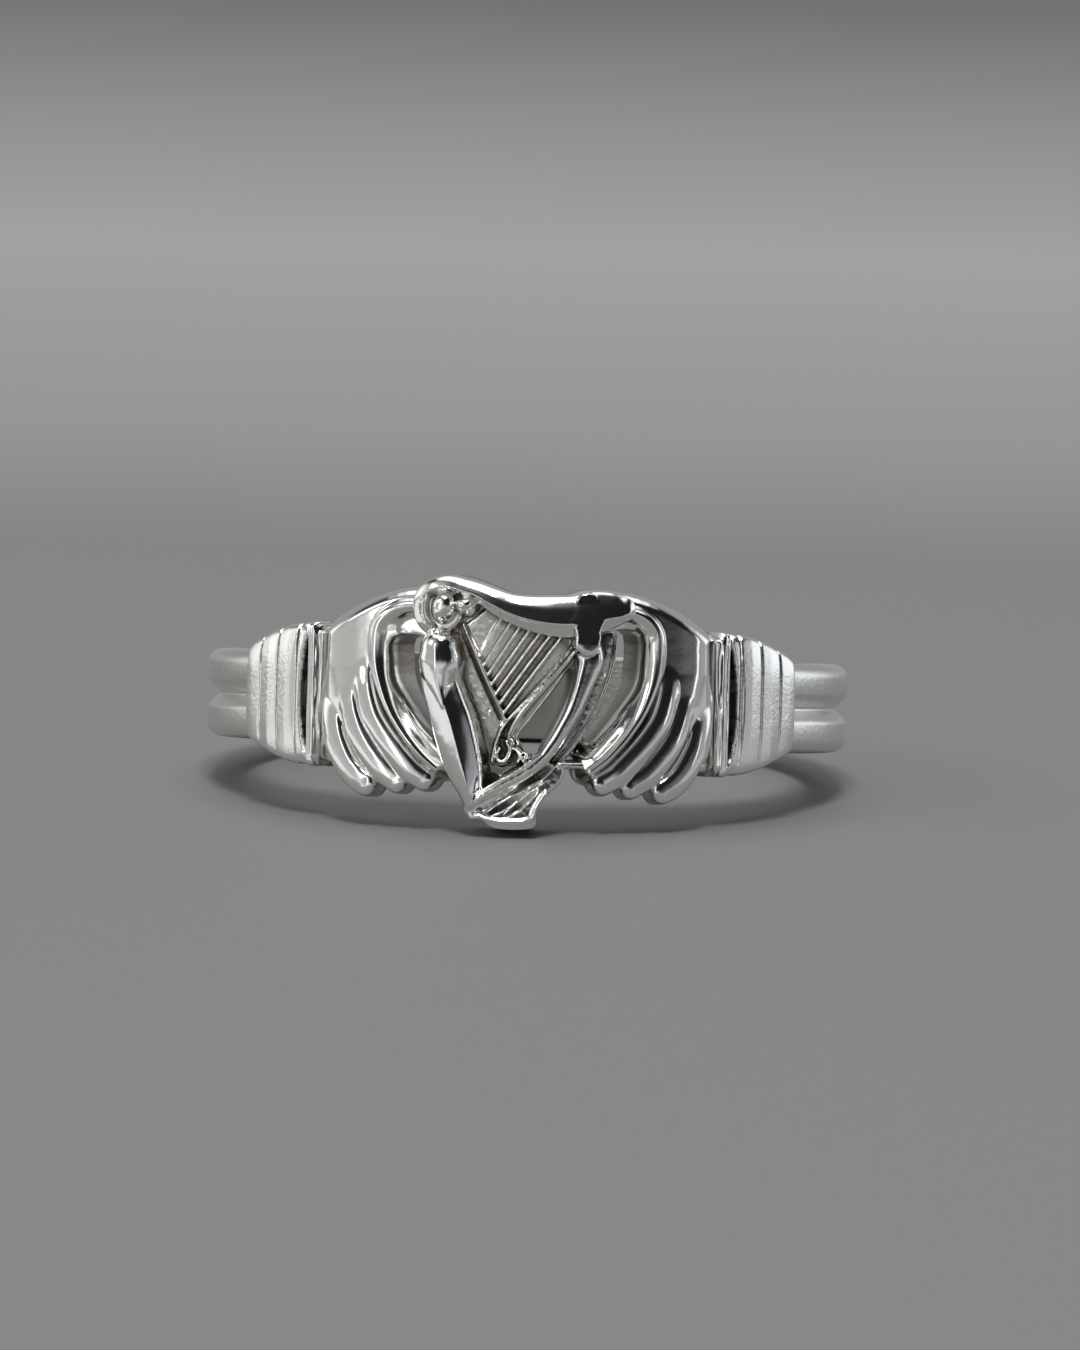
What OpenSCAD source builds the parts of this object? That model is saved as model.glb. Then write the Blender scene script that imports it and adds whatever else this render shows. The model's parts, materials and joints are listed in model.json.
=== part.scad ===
/* [Finger hole] */
// Inside diameter of the ring
finger_d = 17.3; // [15:0.1:21]

/* [Shank] */
// Thickness of the band at its two ribs
shank_wall = 1.4; // [1.1:0.05:2]
// Width of the band along the finger
shank_w = 2.75; // [2.4:0.05:3.4]
// Radius of the rounded edges of the ribs
rib_round = 0.35; // [0.2:0.05:0.45]
// Depth of the groove between the two ribs
groove_depth = 0.35; // [0.1:0.05:0.5]
// Width of the groove between the two ribs
groove_w = 0.9; // [0.5:0.05:1.2]

/* [Cuffs] */
// Arc from the middle of the harp to the near end of a cuff
cuff_u = 7.8; // [7.6:0.05:8.4]
// Number of bands on a cuff
cuff_bands = 3; // [2:1:4]
// Width of one band round the ring
cuff_band_w = 0.76; // [0.6:0.02:0.9]
// Thickness of the cuff's wall
cuff_wall = 1.72; // [1.55:0.01:2]
// Height of the cuff beside the hand
cuff_near_h = 4.15; // [3.9:0.05:4.4]
// Height of the cuff at the shank
cuff_far_h = 3.05; // [2.9:0.05:3.4]
// Thickness at the seams between the bands
seam_wall = 1.6; // [1.45:0.01:1.65]

/* [Frill] */
// Arc from the middle of the harp to the middle of the frill
frill_u = 7.1; // [7:0.02:7.2]
// Width of the frill round the ring
frill_w = 0.42; // [0.3:0.02:0.5]
// Height of the frill along the finger
frill_h = 4.2; // [4:0.05:4.4]
// Thickness of the frill's wall
frill_wall = 1.62; // [1.45:0.01:1.75]
// Thickness of the recesses beside the frill
neck_wall = 1.28; // [1.1:0.01:1.35]
// Number of scallops along the frill
scallops = 9; // [7:1:11]

/* [Hands] */
// Arc from the middle of the harp to the wrist
hand_l = 6.45; // [6.3:0.05:6.6]
// Height of a hand along the finger
hand_h = 6.2; // [6:0.05:6.6]
// Thickness of the web that carries the fingers
web_wall = 1.5; // [1.4:0.05:1.6]
// Thickness at the crest of the back of the hand
back_wall = 2; // [1.9:0.05:2.1]
// Thickness at the crest of the fingers
finger_wall = 2.15; // [2.05:0.05:2.3]

/* [Harp] */
// Width of the harp round the ring
harp_w = 6.8; // [6.6:0.05:7]
// Height of the harp along the finger
harp_h = 7.6; // [7.4:0.05:8]
// Thickness of the plate behind the strings
panel_wall = 1.55; // [1.45:0.05:1.65]
// Thickness at the crest of the soundbox, the fore-pillar and the neck
harp_wall = 2.55; // [2.45:0.05:2.8]
// Number of strings
strings = 7; // [5:1:9]
// Width of a string
string_w = 0.14; // [0.1:0.01:0.16]

/* [Hidden] */

bore_r = finger_d / 2;
// Radius at which arcs along the ring are measured
arc_r = bore_r + 1.85;
// Depth that every raised form reaches inside the finger hole before it is bored
under = -0.2;
// How far a raised form sinks into what carries it
sink = 0.25;
// How far a cutter runs past both faces of the casting
past = 1;
// Finest step that the casting holds
grain = 0.002;
// How far the head's inside stands back from the band's, so that the band carries the fit
relief = 0.02;
// Width of the broken edges of the hands and the cuffs, and of the harp's plate
edge = 0.3;
harp_edge = 0.2;
// How far the band runs in under a cuff, up to this far from the cuff's near end
band_end = 0.05;
// Share of a cuff band that each of its two sloping edges takes
cuff_slope = 0.12;
// Power of the curve by which the cuff narrows towards the shank
cuff_curve = 1.3;
// Level from which the fingers and the back of the hand rise
hand_base = web_wall * 0.85;
// Height of the recesses beside the frill, as a share of the frill's height
neck_share = 0.93;
// Slope of the frill's sides: height and thickness at its edges, as shares of its middle
frill_side = [0.97, 0.9];
// Thickness of the frill's crest under its scallops, and of their tops
scallop_wall = [frill_wall * 0.92, frill_wall * 1.04];
// Rise of a scallop's hollow and of its top, as shares
scallop_rise = [0.3, 1];
// Rise of a string, as a share of the harp's relief
string_rise = 0.22;
harp_half = [harp_w / 2, harp_h / 2];
hand_half = [hand_l, hand_h / 2];
cuff_far_u = cuff_u + cuff_bands * cuff_band_w;
// The ring lies on the harp's foot and on the round edge at the back of the shank
foot_drop = harp_h / 2 - (shank_w / 2 - rib_round);
foot_reach = 2 * bore_r + shank_wall - rib_round;
tilt = acos(rib_round / norm([foot_drop, foot_reach])) - atan2(foot_reach, foot_drop);

// A place on the ring, from arc length, height along the finger and height above the bore
function on_ring(u, v, h) =
    let (a = u / arc_r * 180 / PI, r = bore_r + h)
    [for (x = [r * sin(a), -r * cos(a), v]) round(x / grain) * grain];

function spline(a, b, c, d, x) =
    0.5 * (2 * b + (c - a) * x + (2 * a - 5 * b + 4 * c - d) * x * x
        + (3 * b - a - 3 * c + d) * x * x * x);

// A smooth run of stations through the rows of a table
function smooth(rows, steps) = let (last = len(rows) - 1) [
    for (i = [0 : last - 1], k = [0 : steps - 1])
        spline(rows[max(i - 1, 0)], rows[i], rows[i + 1], rows[min(i + 2, last)], k / steps),
    rows[last]
];

// Closed skin over rings of points that all have the same count
module skin(rings) {
    n = len(rings[0]);
    m = len(rings);
    polyhedron(
        points = [for (ring = rings, p = ring) p],
        faces = concat(
            [[for (j = [n - 1 : -1 : 0]) j]],
            [for (i = [0 : m - 2], j = [0 : n - 1]) let (k = (j + 1) % n)
                [i * n + j, i * n + k, (i + 1) * n + k, (i + 1) * n + j]],
            [[for (j = [0 : n - 1]) (m - 1) * n + j]]),
        convexity = 8);
}

// Sections of raised forms: across as a share of the half width, up as a share of the rise
round_section = [[1, 0], [0.8, 0.65], [0.3, 1], [-0.3, 1], [-0.8, 0.65], [-1, 0]];
// Steep on the right of its path and long on the left
bevel_section = [[1, 0], [0.95, 0.6], [0.5, 1], [-0.3, 0.7], [-0.6, 0.4], [-1, 0.25], [-1, 0]];
sharp_section = [[1, 0], [0.4, 1], [-0.4, 1], [-1, 0]];

// Raised form along a path. Columns of the table: arc and height as shares of size,
// half width as a share of size[1], rise as a share of crest - base
module ridge(table, size, base, crest, section, steps = 1) {
    rows = smooth(table, steps);
    last = len(rows) - 1;
    skin([for (i = [0 : last])
        let (
            row = rows[i],
            c = [row[0] * size[0], row[1] * size[1]],
            a = rows[max(i - 1, 0)],
            b = rows[min(i + 1, last)],
            d = [(b[0] - a[0]) * size[0], (b[1] - a[1]) * size[1]],
            n = [d[1], -d[0]] / norm(d),
            w = row[2] * size[1],
            rise = row[3] * (crest - base))
        concat(
            [for (p = section) on_ring(c[0] + n[0] * w * p[0], c[1] + n[1] * w * p[0],
                base + rise * p[1])],
            [on_ring(c[0] - n[0] * w, c[1] - n[1] * w, base - sink),
                on_ring(c[0] + n[0] * w, c[1] + n[1] * w, base - sink)])]);
}

// Plate across the band. Columns of the table: arc, lower edge, upper edge as shares of
// size, thickness as a share of wall
module plate(table, size, wall, edge, steps = 1) {
    skin([for (row = smooth(table, steps))
        let (
            u = row[0] * size[0],
            lo = row[1] * size[1],
            hi = row[2] * size[1],
            mid = (lo + hi) / 2,
            e = min(edge, (hi - lo) / 3),
            h = row[3] * wall)
        [on_ring(u, lo, under), on_ring(u, lo, h - e), on_ring(u, lo + e * 0.3, h - e * 0.3),
            on_ring(u, lo + e, h), on_ring(u, mid, h), on_ring(u, hi - e, h),
            on_ring(u, hi - e * 0.3, h - e * 0.3), on_ring(u, hi, h - e), on_ring(u, hi, under)]]);
}

// Cutter right through the casting. Columns of the table: height, left edge, right edge
// as shares of size
module opening(table, size) {
    skin([for (row = table)
        let (v = row[0] * size[1], left = row[1] * size[0], right = row[2] * size[0])
        [on_ring(left, v, under - past), on_ring(left, v, harp_wall + past),
            on_ring(right, v, harp_wall + past), on_ring(right, v, under - past)]]);
}

// Low mound. Columns of the table: arc and height as shares of size, radius as a share
// of size[1]; rise as a share of crest - base
module mounds(table, size, base, crest) {
    sides = 8;
    for (row = table)
        skin([for (lift = [[1, -sink], [1, 0.2], [0.6, 1]])
            [for (k = [0 : sides - 1])
                let (a = -k * 360 / sides, w = row[2] * size[1] * lift[0])
                on_ring(row[0] * size[0] + w * cos(a), row[1] * size[1] + w * sin(a),
                    base + (lift[1] < 0 ? lift[1] : lift[1] * row[3] * (crest - base)))]]);
}

// Hand, from the harp to the wrist: arc, lower edge, upper edge, thickness
palm_table = [
    [0.24, -0.78, 0.70, 0.94], [0.36, -0.82, 0.98, 0.96], [0.45, -0.84, 1.04, 0.96],
    [0.54, -0.86, 1.04, 0.96], [0.62, -0.90, 1.02, 0.96], [0.72, -0.93, 0.97, 0.98],
    [0.80, -0.92, 0.90, 1.00], [0.89, -0.86, 0.81, 1.05], [0.96, -0.76, 0.74, 1.00],
    [1.00, -0.64, 0.66, 0.90]];
// Back of the hand: arc, height, half width, rise
back_table = [
    [0.99, 0.18, 0.36, 0.30], [0.93, 0.20, 0.42, 0.85], [0.86, 0.22, 0.44, 1.00],
    [0.79, 0.26, 0.42, 0.80], [0.74, 0.30, 0.30, 0.30]];
// Rim along the top of the hand: arc, height, half width, rise
rim_table = [
    [0.98, 0.58, 0.05, 0.40], [0.91, 0.70, 0.08, 0.80], [0.82, 0.80, 0.08, 0.90],
    [0.72, 0.89, 0.09, 0.90], [0.62, 0.94, 0.09, 0.80], [0.50, 0.96, 0.09, 0.75],
    [0.42, 0.95, 0.08, 0.50]];
// Fingers, each from the knuckle to the tip: arc, height, half width, rise
index_table = [
    [0.56, 0.92, 0.08, 0.50], [0.64, 0.87, 0.12, 0.85], [0.70, 0.72, 0.14, 1.00],
    [0.71, 0.52, 0.14, 1.00], [0.70, 0.34, 0.13, 1.00], [0.66, 0.13, 0.12, 0.97],
    [0.60, -0.09, 0.115, 0.94], [0.52, -0.31, 0.11, 0.90], [0.43, -0.52, 0.105, 0.86],
    [0.35, -0.69, 0.10, 0.80], [0.30, -0.78, 0.07, 0.50]];
middle_table = [
    [0.79, 0.46, 0.05, 0.60], [0.77, 0.26, 0.09, 0.90], [0.735, 0.02, 0.11, 0.96],
    [0.68, -0.22, 0.11, 0.96], [0.61, -0.43, 0.11, 0.92], [0.52, -0.65, 0.105, 0.86],
    [0.45, -0.80, 0.10, 0.78], [0.415, -0.87, 0.06, 0.40]];
ring_table = [
    [0.86, 0.32, 0.05, 0.60], [0.845, 0.12, 0.09, 0.88], [0.815, -0.12, 0.11, 0.94],
    [0.77, -0.32, 0.11, 0.94], [0.71, -0.51, 0.11, 0.90], [0.64, -0.70, 0.105, 0.84],
    [0.58, -0.84, 0.10, 0.76], [0.55, -0.91, 0.06, 0.40]];
pinky_table = [
    [0.93, 0.16, 0.05, 0.55], [0.925, -0.06, 0.09, 0.82], [0.90, -0.28, 0.11, 0.90],
    [0.86, -0.49, 0.115, 0.90], [0.81, -0.68, 0.115, 0.86], [0.76, -0.83, 0.10, 0.76],
    [0.735, -0.91, 0.06, 0.40]];
// Thumb along the top edge, from the knuckle to the harp: arc, height, half width, rise
thumb_table = [
    [0.66, 0.80, 0.08, 0.30], [0.58, 0.82, 0.13, 0.60], [0.50, 0.80, 0.13, 0.62],
    [0.42, 0.76, 0.10, 0.50]];
// Tip of the thumb that shows below the harp's scroll
thumb_tip_table = [
    [0.60, 0.68, 0.02, 0.20], [0.56, 0.66, 0.06, 0.60], [0.50, 0.62, 0.08, 0.75],
    [0.44, 0.58, 0.07, 0.60]];

// Harp's plate: arc, lower edge, upper edge, thickness
harp_plate_table = [
    [-0.88, 0.16, 0.62, 0.94], [-0.80, -0.06, 0.80, 1.00], [-0.70, -0.36, 0.92, 1.00],
    [-0.58, -0.62, 0.94, 1.00], [-0.44, -0.84, 0.92, 1.00], [-0.31, -0.94, 0.86, 1.00],
    [-0.18, -1.00, 0.82, 1.00], [0.09, -1.00, 0.80, 1.00], [0.19, -0.98, 0.80, 1.00],
    [0.24, -0.84, 0.80, 1.00], [0.32, -0.72, 0.80, 1.00], [0.42, -0.62, 0.80, 1.00],
    [0.55, -0.44, 0.82, 1.00], [0.68, -0.26, 0.86, 1.00], [0.80, -0.06, 0.86, 1.00],
    [0.90, 0.14, 0.82, 0.98], [0.96, 0.34, 0.78, 0.94]];
// Neck, from the curl of its scroll to its free end: arc, height, half width, rise
neck_table = [
    [-0.62, 0.59, 0.04, 0.55], [-0.74, 0.58, 0.055, 0.70], [-0.84, 0.65, 0.06, 0.75],
    [-0.875, 0.75, 0.065, 0.80], [-0.84, 0.85, 0.07, 0.85], [-0.74, 0.92, 0.075, 0.95],
    [-0.58, 0.945, 0.08, 1.00], [-0.40, 0.90, 0.085, 1.00], [-0.22, 0.81, 0.10, 1.00],
    [-0.05, 0.74, 0.12, 1.00], [0.15, 0.70, 0.14, 1.00], [0.36, 0.685, 0.155, 1.00],
    [0.55, 0.705, 0.165, 1.00], [0.72, 0.745, 0.165, 0.98], [0.88, 0.76, 0.13, 0.90],
    [1.00, 0.74, 0.08, 0.70], [1.04, 0.73, 0.03, 0.40]];
// Soundbox, from its round top to the foot
soundbox_table = [
    [-0.69, 0.56, 0.05, 0.30], [-0.69, 0.52, 0.12, 0.80], [-0.69, 0.42, 0.165, 0.98],
    [-0.70, 0.28, 0.165, 1.00], [-0.67, 0.08, 0.145, 0.98], [-0.61, -0.14, 0.14, 0.96],
    [-0.53, -0.36, 0.14, 0.94], [-0.45, -0.56, 0.14, 0.90], [-0.39, -0.74, 0.12, 0.84],
    [-0.36, -0.88, 0.07, 0.70], [-0.35, -0.93, 0.03, 0.30]];
// Fore-pillar, from the neck down and back to the foot
pillar_table = [
    [0.80, 0.60, 0.09, 0.80], [0.72, 0.42, 0.11, 0.80], [0.63, 0.22, 0.11, 0.80],
    [0.55, 0.02, 0.10, 0.80], [0.46, -0.20, 0.10, 0.80], [0.34, -0.38, 0.095, 0.80],
    [0.18, -0.52, 0.09, 0.80], [0.00, -0.64, 0.085, 0.78], [-0.16, -0.74, 0.08, 0.72],
    [-0.30, -0.84, 0.06, 0.60]];
// Thin rim of the drapery along the opening beside the right hand
drape_rim_table = [
    [0.91, 0.55, 0.025, 0.40], [0.935, 0.36, 0.035, 0.45], [0.90, 0.18, 0.035, 0.45],
    [0.80, -0.08, 0.035, 0.45], [0.71, -0.26, 0.035, 0.45], [0.62, -0.41, 0.03, 0.40]];
// Joint between the neck and the fore-pillar
joint_table = [
    [0.62, 0.60, 0.07, 0.90], [0.60, 0.50, 0.085, 0.85], [0.60, 0.42, 0.07, 0.70],
    [0.60, 0.37, 0.04, 0.40]];
// Ridge that carries the lower ends of the strings
string_ridge_table = [
    [-0.49, 0.60, 0.025, 0.30], [-0.31, 0.31, 0.03, 0.34], [-0.19, 0.08, 0.03, 0.34],
    [-0.08, -0.13, 0.025, 0.30]];
// Bar behind the longest string, and the lip along its lower edge
bar_table = [
    [0.56, 0.53, 0.025, 0.30], [0.24, 0.17, 0.03, 0.34], [-0.06, -0.14, 0.03, 0.34],
    [-0.17, -0.32, 0.03, 0.34], [-0.21, -0.44, 0.025, 0.30]];
bar_lip_table = [
    [0.55, 0.46, 0.025, 0.36], [0.42, 0.30, 0.035, 0.42], [0.07, -0.06, 0.035, 0.42],
    [-0.05, -0.24, 0.03, 0.34]];
// Edge of the soundbox's belly
belly_table = [
    [-0.52, 0.26, 0.025, 0.40], [-0.38, 0.02, 0.03, 0.45], [-0.26, -0.26, 0.03, 0.45],
    [-0.22, -0.50, 0.03, 0.40]];
// Strings run from the neck to the string ridge: ends of the first and last string
string_tops = [[-0.13, 0.66], [0.38, 0.51]];
string_feet = [[-0.31, 0.40], [-0.09, -0.07]];
// Knob and scroll where the strings meet: arc, height, radius, rise
scroll_table = [
    [-0.06, -0.39, 0.095, 0.55], [0.04, -0.44, 0.04, 0.50], [0.11, -0.41, 0.035, 0.50],
    [-0.10, -0.29, 0.04, 0.45]];
// Eye and ball of the neck's scroll
eye_table = [[-0.64, 0.74, 0.13, 0.70], [-0.465, 0.755, 0.065, 0.80]];
// Folds of the drapery, fanned over the foot: columns as in the ridges
fold_tables = [
    [[0.40, -0.47, 0.03, 0.50], [0.20, -0.62, 0.045, 0.55], [-0.05, -0.78, 0.045, 0.55],
        [-0.26, -0.91, 0.03, 0.40]],
    [[0.42, -0.50, 0.03, 0.50], [0.25, -0.68, 0.05, 0.50], [0.06, -0.84, 0.055, 0.50],
        [-0.12, -0.96, 0.04, 0.35]],
    [[0.42, -0.54, 0.03, 0.45], [0.28, -0.70, 0.05, 0.45], [0.17, -0.84, 0.055, 0.45],
        [0.09, -0.96, 0.04, 0.30]]];

// Openings cut through the casting: height, left edge, right edge
right_gap_table = [
    [0.63, 0.96, 1.00], [0.52, 0.97, 1.12], [0.37, 1.00, 1.17], [0.13, 0.96, 1.13],
    [-0.09, 0.87, 1.00], [-0.27, 0.77, 0.84], [-0.38, 0.70, 0.73]];
left_gap_table = [
    [0.55, -1.12, -0.96], [0.44, -1.18, -0.93], [0.30, -1.17, -0.92], [0.15, -1.14, -0.88],
    [-0.02, -1.02, -0.83], [-0.18, -0.88, -0.78], [-0.31, -0.74, -0.72]];
triangle_table = [
    [0.32, 0.48, 0.52], [0.18, 0.40, 0.52], [0.02, 0.27, 0.45], [-0.14, 0.14, 0.38],
    [-0.28, 0.04, 0.29], [-0.38, 0.16, 0.22]];

// Outline of the band: the wall of the finger hole, two rounded ribs and the groove
module band_profile() {
    outer = bore_r + shank_wall;
    side = shank_w / 2 - rib_round;
    difference() {
        union() {
            translate([bore_r, -side - rib_round]) square([shank_wall - rib_round, shank_w]);
            translate([bore_r, -side]) square([shank_wall, 2 * side]);
            for (v = [-side, side])
                translate([outer - rib_round, v]) circle(r = rib_round, $fn = 32);
        }
        polygon([[outer - groove_depth, 0], [outer, groove_w / 2], [outer + past, groove_w / 2],
            [outer + past, -groove_w / 2], [outer, -groove_w / 2]]);
    }
}

// Plain band round the back of the finger. Both ends run in under the cuffs
module shank() {
    reach = (cuff_u + band_end) / arc_r * 180 / PI;
    rotate([0, 0, -90 + reach]) rotate_extrude(angle = 360 - 2 * reach, $fn = 180)
        band_profile();
}

// Half the height of the cuff at one of its seams
function cuff_half(seam) =
    (cuff_near_h + (cuff_far_h - cuff_near_h) * pow(seam / cuff_bands, cuff_curve)) / 2;

// Cuff of flat bands that narrows from the hand to the shank
module cuff() {
    unit = [1, 1];
    for (i = [0 : cuff_bands - 1]) {
        u = cuff_u + i * cuff_band_w;
        near = cuff_half(i);
        far = cuff_half(i + 1);
        slope = cuff_band_w * cuff_slope;
        plate([
            [u, -near, near, seam_wall / cuff_wall],
            [u + slope, -near, near, 1],
            [u + cuff_band_w / 2, -(near + far) / 2, (near + far) / 2, 1],
            [u + cuff_band_w - slope, -far, far, 1],
            [u + cuff_band_w, -far, far, seam_wall / cuff_wall]],
            unit, cuff_wall, edge);
    }
}

// Frill between the cuff and the hand, on a narrow neck
module frill() {
    unit = [1, 1];
    half = frill_h / 2;
    neck = half * neck_share;
    side = half * frill_side[0];
    plate([[hand_l - sink, -neck, neck, 1], [frill_u, -neck, neck, 1],
        [cuff_u + sink, -neck, neck, 1]], unit, neck_wall, edge);
    plate([[frill_u - frill_w / 2, -side, side, frill_side[1]], [frill_u, -half, half, 1],
        [frill_u + frill_w / 2, -side, side, frill_side[1]]], unit, frill_wall, edge);
    steps = 2 * scallops;
    ridge([for (k = [0 : steps]) [frill_u, (k / steps - 0.5) * (frill_h - 2 * edge),
        frill_w * 0.4, scallop_rise[k % 2]]],
        unit, scallop_wall[0], scallop_wall[1], sharp_section);
}

module hand() {
    plate(palm_table, hand_half, web_wall, edge);
    ridge(back_table, hand_half, hand_base, back_wall, round_section);
    ridge(rim_table, hand_half, hand_base, back_wall, round_section);
    for (table = [index_table, middle_table, ring_table, pinky_table])
        ridge(table, hand_half, hand_base, finger_wall, round_section, 2);
    ridge(thumb_table, hand_half, hand_base, finger_wall, round_section);
}

// Everything from one cuff to the wrist and on to the fingertips
module arm() {
    cuff();
    frill();
    hand();
}

module harp_frame() {
    crest = harp_wall;
    ridge(neck_table, harp_half, panel_wall, crest, bevel_section, 2);
    ridge(soundbox_table, harp_half, panel_wall, crest, round_section, 2);
    ridge(pillar_table, harp_half, panel_wall, crest, round_section);
    ridge(joint_table, harp_half, panel_wall, crest, round_section);
    ridge(drape_rim_table, harp_half, panel_wall, crest, sharp_section);
    ridge(belly_table, harp_half, panel_wall, crest, sharp_section);
    mounds(eye_table, harp_half, panel_wall, crest);
    mounds(scroll_table, harp_half, panel_wall, crest);
}

module harp_strings() {
    half_w = string_w / harp_h;
    for (k = [0 : strings - 1]) {
        x = k / (strings - 1);
        top = string_tops[0] * (1 - x) + string_tops[1] * x;
        foot = string_feet[0] * (1 - x) + string_feet[1] * x;
        ridge([for (end = [top, (top + foot) / 2, foot]) [end[0], end[1], half_w, string_rise]],
            harp_half, panel_wall, harp_wall, sharp_section);
    }
    ridge(string_ridge_table, harp_half, panel_wall, harp_wall, sharp_section);
    ridge(bar_table, harp_half, panel_wall, harp_wall, sharp_section);
    ridge(bar_lip_table, harp_half, panel_wall, harp_wall, sharp_section);
}

module harp_foot() {
    for (table = fold_tables)
        ridge(table, harp_half, panel_wall, harp_wall, round_section);
}

module harp() {
    plate(harp_plate_table, harp_half, panel_wall, harp_edge);
    harp_frame();
    harp_strings();
    harp_foot();
}

// Head of the ring: both arms and the harp as one closed skin, with its openings
module head() {
    resize([0, 0, 0]) difference() {
        union() {
            arm();
            mirror([1, 0, 0]) arm();
            mirror([1, 0, 0])
                ridge(thumb_tip_table, hand_half, hand_base, finger_wall, round_section);
            harp();
        }
        opening(right_gap_table, harp_half);
        opening(left_gap_table, harp_half);
        opening(triangle_table, harp_half);
        head_bore();
    }
}

// Inside of the head
module head_bore() {
    long = harp_h + 2 * past;
    translate([0, 0, -long / 2]) cylinder(r = bore_r + relief, h = long, $fn = 120);
}

module ring() {
    color("silver") rotate([-tilt, 0, 0]) {
        shank();
        head();
    }
}

ring();
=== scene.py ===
"""Looks of the claddagh ring: one polished silver casting, as relief round the finger."""
import json
import math

import bpy
import numpy as np
import openvdb
from mathutils import Matrix, Vector


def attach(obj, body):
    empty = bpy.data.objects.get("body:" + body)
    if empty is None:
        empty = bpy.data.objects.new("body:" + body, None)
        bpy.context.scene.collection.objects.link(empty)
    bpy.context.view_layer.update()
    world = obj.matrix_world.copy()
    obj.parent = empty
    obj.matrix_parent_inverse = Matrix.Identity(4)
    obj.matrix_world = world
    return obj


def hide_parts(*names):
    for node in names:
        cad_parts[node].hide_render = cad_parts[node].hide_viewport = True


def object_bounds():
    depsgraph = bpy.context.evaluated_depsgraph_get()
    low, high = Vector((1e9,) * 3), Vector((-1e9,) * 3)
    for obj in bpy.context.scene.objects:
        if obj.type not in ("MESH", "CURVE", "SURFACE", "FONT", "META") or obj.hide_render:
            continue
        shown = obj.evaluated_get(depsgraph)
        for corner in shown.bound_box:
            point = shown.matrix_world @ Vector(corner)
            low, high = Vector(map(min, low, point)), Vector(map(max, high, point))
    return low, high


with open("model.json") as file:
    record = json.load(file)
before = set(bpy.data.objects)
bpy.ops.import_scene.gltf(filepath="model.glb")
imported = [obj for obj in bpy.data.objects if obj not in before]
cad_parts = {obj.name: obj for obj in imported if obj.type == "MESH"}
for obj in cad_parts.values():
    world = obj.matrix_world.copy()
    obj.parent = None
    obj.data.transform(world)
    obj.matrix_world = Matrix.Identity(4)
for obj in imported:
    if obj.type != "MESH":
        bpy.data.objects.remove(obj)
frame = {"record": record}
cad_box = [list(corner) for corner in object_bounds()]

# Sizes in millimetres. Hole, lean and overall size come from the frame
MM = 0.001
mount = frame["record"]["mounts"][0]
BORE_R = mount["dims"]["r_mm"]
BAND_W = mount["dims"]["length_mm"]
LEAN = math.asin(mount["axis"][1])
ARC_ABOVE = 1.85       # height above the hole's wall at which arcs are measured
ARC_R = BORE_R + ARC_ABOVE
FLOOR_Z = cad_box[0][2]        # in metres, as the frame is
HARP = (3.4, 3.8)      # half width round the ring, half height along the finger
HAND = (6.45, 3.1)     # arc from the middle of the harp to the wrist, half height
WEB, FINGER = 1.45, 2.1        # heights above the hole: thin edge of a hand, its fingers
PANEL, CREST = 1.5, 2.5        # heights above the hole: ground of the harp, its high forms
HARP_VOXEL, HAND_VOXEL, CUFF_VOXEL = 0.047, 0.038, 0.040
FAR, HUGE, TINY = 99.0, 1e9, 1e-9

# How far a form is worked out, in half widths, and how steeply it drops past its edge
RIDGE_REACH, RIDGE_DROP = 1.9, 3
BOSS_REACH, BOSS_DROP = 1.6, 4
GROOVE_REACH, LEAST_REACH = 1.1, 0.02
OUTLINE_SOFT, UNDER_SOFT = 0.06, 0.05      # rounding where outlines join, and of the underside
LAST_CELL = 1.001      # keeps a sample inside the last cell of its grid
LAYERS_BELOW, LAYERS_ABOVE = 3, 5          # of the volume, past the hole's wall and the crest
SNAPS, LEAST_SLOPE = 3, 0.2                # rounds that bring the points on to the surface
RECESSES = ((0.3, 0.25), (0.1, 0.125))     # hollows that get tarnish and painted shade: width, depth at which it is full
SIDE_FROM = 0.3        # this far below the relief a face counts as a side wall, which is painted dark as shade


def wrap(p):
    """Arc, height along the finger and height above the hole, to the row frame in metres."""
    a = p[:, 0] / ARC_R
    r = BORE_R + p[:, 2]
    x, y, z = r * np.sin(a), -r * np.cos(a), p[:, 1]
    c, s = math.cos(LEAN), math.sin(LEAN)
    return np.stack([x, y * c + z * s, z * c - y * s], 1) * MM


def spline(rows, steps=6, closed=False):
    """Smooth run of stations through the rows of a table."""
    r = np.array(rows, float)
    n = len(r)
    out = []
    for i in range(n if closed else n - 1):
        if closed:
            a, b, c, d = (r[(i + k) % n] for k in (-1, 0, 1, 2))
        else:
            a, b, c, d = r[max(i - 1, 0)], r[i], r[i + 1], r[min(i + 2, n - 1)]
        for k in range(steps):
            x = k / steps
            out.append(0.5 * (2 * b + (c - a) * x + (2 * a - 5 * b + 4 * c - d) * x ** 2
                              + (3 * b - a - 3 * c + d) * x ** 3))
    if not closed:
        out.append(r[-1])
    return np.array(out)


def path(rows, size, steps=6):
    """Stations of a table, whose arc, height and half width are shares of size, and rise."""
    p = spline(rows, steps)
    return p * np.array([size[0], size[1], size[1], 1.0])


def smax(a, b, k):
    """The greater of two fields, rounded over k where they cross."""
    h = np.maximum(k - np.abs(a - b), 0) / k
    return np.maximum(a, b) + h * h * k / 4


def smin(a, b, k):
    """The lesser of two fields, rounded over k where they cross."""
    return -smax(-a, -b, k)


# Halves of a section, from the crest to the edge: share of the half width, share of the rise
ROUND = [(0, 1), (0.3, 0.94), (0.6, 0.75), (0.85, 0.38), (1, 0)]
SHARP = [(0, 1), (0.35, 0.9), (1, 0)]
FLAT = [(0, 1), (0.5, 0.96), (0.8, 0.75), (1, 0)]


def half_section(rows, share):
    """Share of the rise at a share of the half width."""
    rows = spline(rows, 5)
    return np.interp(share, rows[:, 0], rows[:, 1])


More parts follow.
